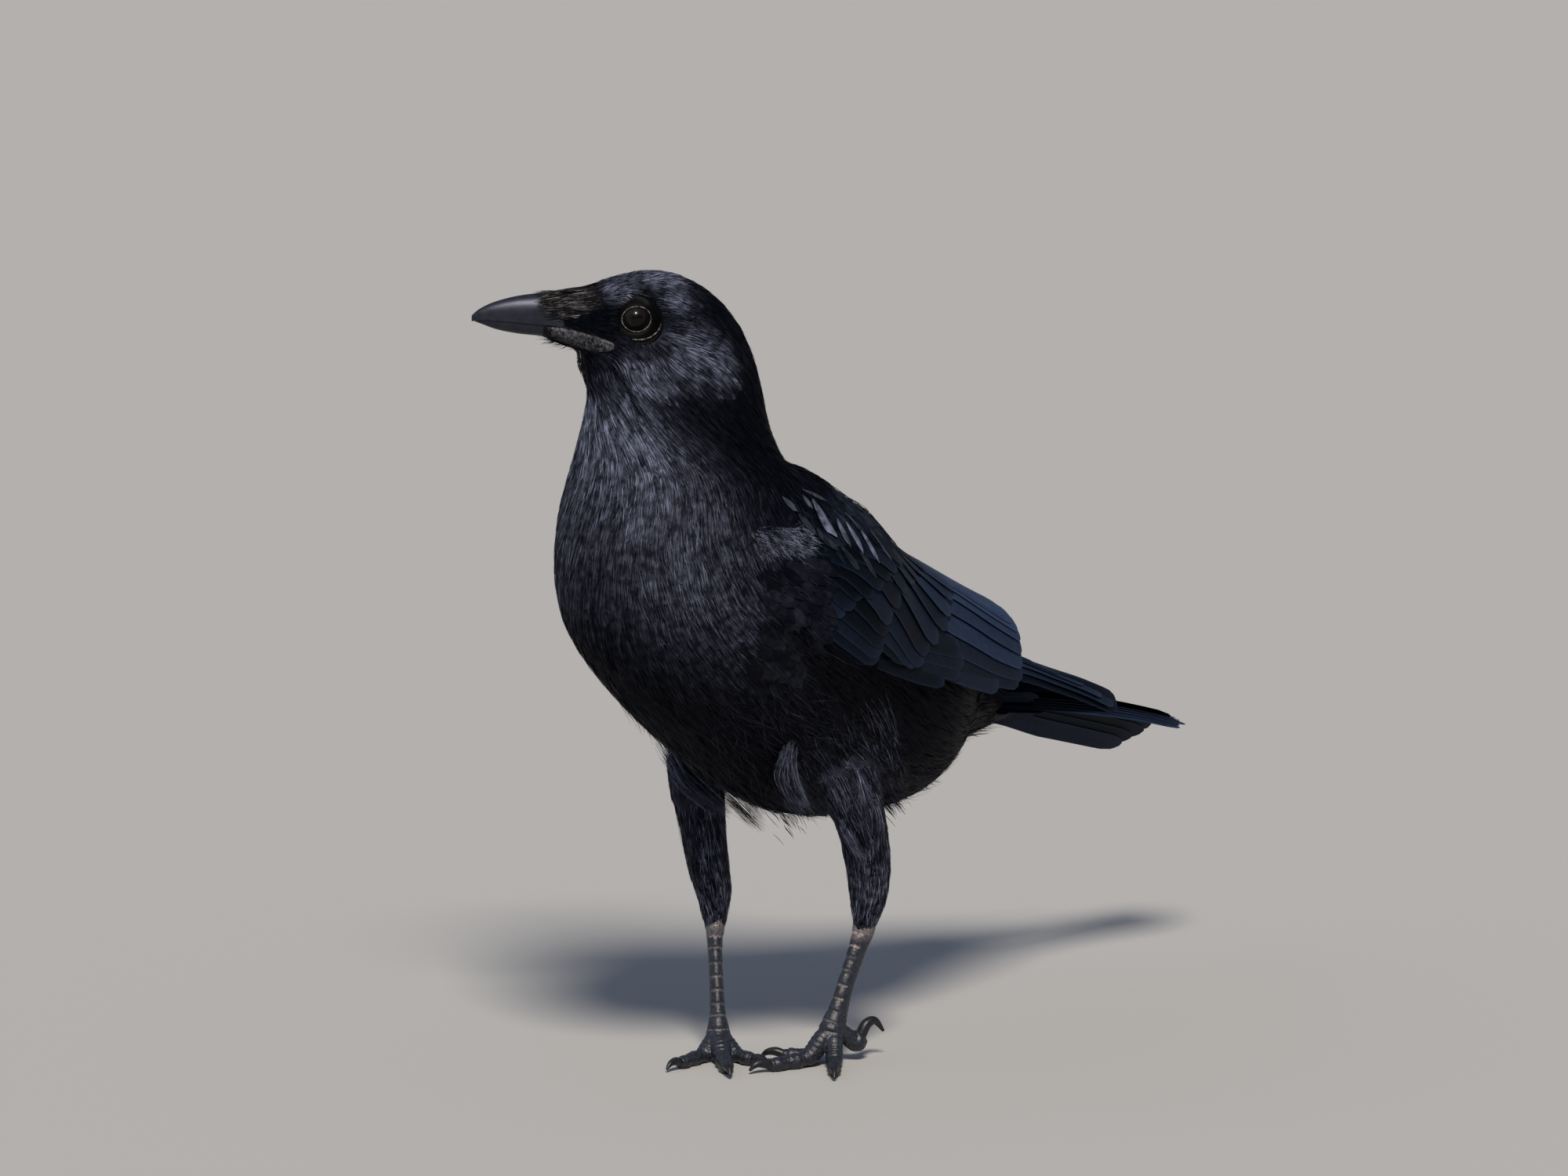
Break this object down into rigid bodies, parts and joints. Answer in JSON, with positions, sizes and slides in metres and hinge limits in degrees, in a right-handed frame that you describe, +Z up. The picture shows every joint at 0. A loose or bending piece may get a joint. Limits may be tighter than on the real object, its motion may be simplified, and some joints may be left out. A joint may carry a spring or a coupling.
{
  "type": "crow",
  "caption": "Life-size all-black crow standing on both feet with its head turned to its right, wings folded and tail held low.",
  "frame": {"origin": "middle of the bottom of the whole bird's bounding box, on the ground under its belly", "axes": "+Z up; -Y the way the body faces, from tail to breast; +X the bird's left side; the head is turned 42 degrees to the bird's right"},
  "size_m": [0.1196, 0.3726, 0.3338],
  "materials": {
    "plumage": "black contour feathers with a faint violet-blue gloss, soft and overlapping",
    "flight_feathers": "black vaned wing and tail feathers with a steel-blue gloss",
    "bill": "satin black horn with fine lengthwise wear",
    "eye": "wet, very dark brown eye under a clear cornea",
    "scales": "dark grey horn scales, satin, with paler seams",
    "claw": "smooth dark horn, semi-gloss"
  },
  "bodies": {
    "root": {"bill_lower": "bill", "bill_upper": "bill", "claw_hind_left": "claw", "claw_hind_right": "claw", "claw_inner_left": "claw", "claw_inner_right": "claw", "claw_middle_left": "claw", "claw_middle_right": "claw", "claw_outer_left": "claw", "claw_outer_right": "claw", "eye_left": "eye", "eye_right": "eye", "head": "plumage", "neck": "plumage", "primaries_left": "flight_feathers", "primaries_right": "flight_feathers", "shank_left": "scales", "shank_right": "scales", "tail": "flight_feathers", "thigh_left": "plumage", "thigh_right": "plumage", "toe_hind_left": "scales", "toe_hind_right": "scales", "toe_inner_left": "scales", "toe_inner_right": "scales", "toe_middle_left": "scales", "toe_middle_right": "scales", "toe_outer_left": "scales", "toe_outer_right": "scales", "trunk": "plumage", "wing_left": "flight_feathers", "wing_right": "flight_feathers"}
  },
  "joints": []
}
